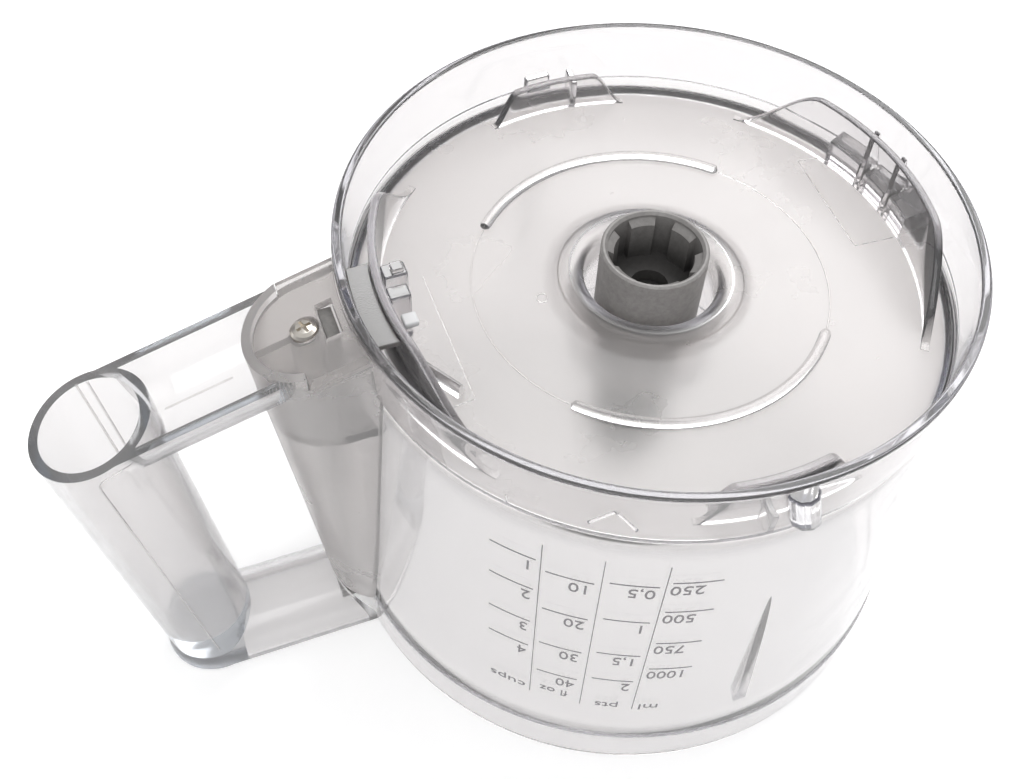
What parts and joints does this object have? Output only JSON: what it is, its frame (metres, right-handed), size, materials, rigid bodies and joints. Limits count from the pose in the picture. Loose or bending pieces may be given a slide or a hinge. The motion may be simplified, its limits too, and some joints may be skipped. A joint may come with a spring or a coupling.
{
  "type": "food processor work bowl",
  "caption": "Clear work bowl of a food processor, standing inverted on its rim, with a hollow side handle, push-rod lid interlock and a toothed central drive coupling.",
  "frame": {"origin": "on the bowl's axis in the plane of its rim, which is the surface it rests on", "axes": "+Z along the bowl's axis out of its underside, so the bowl stands upside down; the handle points along -X"},
  "size_m": [0.2417, 0.1704, 0.1304],
  "materials": {
    "clear_plastic": "clear moulded styrene-acrylonitrile, glossy, grey-violet at its edges",
    "frosted_plastic": "the same plastic with a satin moulded texture, translucent warm grey",
    "natural_plastic": "natural white acetal, satin",
    "grey_plastic": "warm grey glass-filled nylon, satin",
    "steel": "stainless steel, turned",
    "screw_steel": "nickel-plated steel, slightly warm",
    "bronze": "sintered bronze, oiled",
    "seal_rubber": "black silicone lip seal",
    "spring_steel": "drawn spring wire"
  },
  "bodies": {
    "housing": {"bowl": "clear_plastic", "base_lugs": "clear_plastic", "handle_frame": "clear_plastic", "handle_column": "frosted_plastic", "base_cover": "frosted_plastic", "cover_screw": "screw_steel", "rod_guide": "natural_plastic", "outer_bush": "bronze", "inner_bush": "bronze", "shaft_seal": "seal_rubber"},
    "interlock": {"interlock_rod": "natural_plastic", "spring_collar": "natural_plastic", "interlock_spring": "spring_steel"},
    "drive": {"drive_shaft": "steel", "drive_sleeve": "grey_plastic", "sleeve_pin": "steel", "retaining_ring": "spring_steel", "outer_washer": "natural_plastic", "inner_washer": "natural_plastic", "tool_spindle": "grey_plastic", "spindle_pin": "steel"}
  },
  "joints": [
    {"name": "drive_spin", "type": "hinge", "parent": "housing", "child": "drive", "pos_m": [0, 0, 0.1], "axis": [0, 0, 1], "continuous": true},
    {"name": "interlock_push", "type": "slide", "parent": "housing", "child": "interlock", "axis": [0, 0, 1], "range_m": [0, 0.0045], "stiffness_N_per_m": 300, "springref_m": -0.003, "deforming": ["interlock_spring"]}
  ]
}
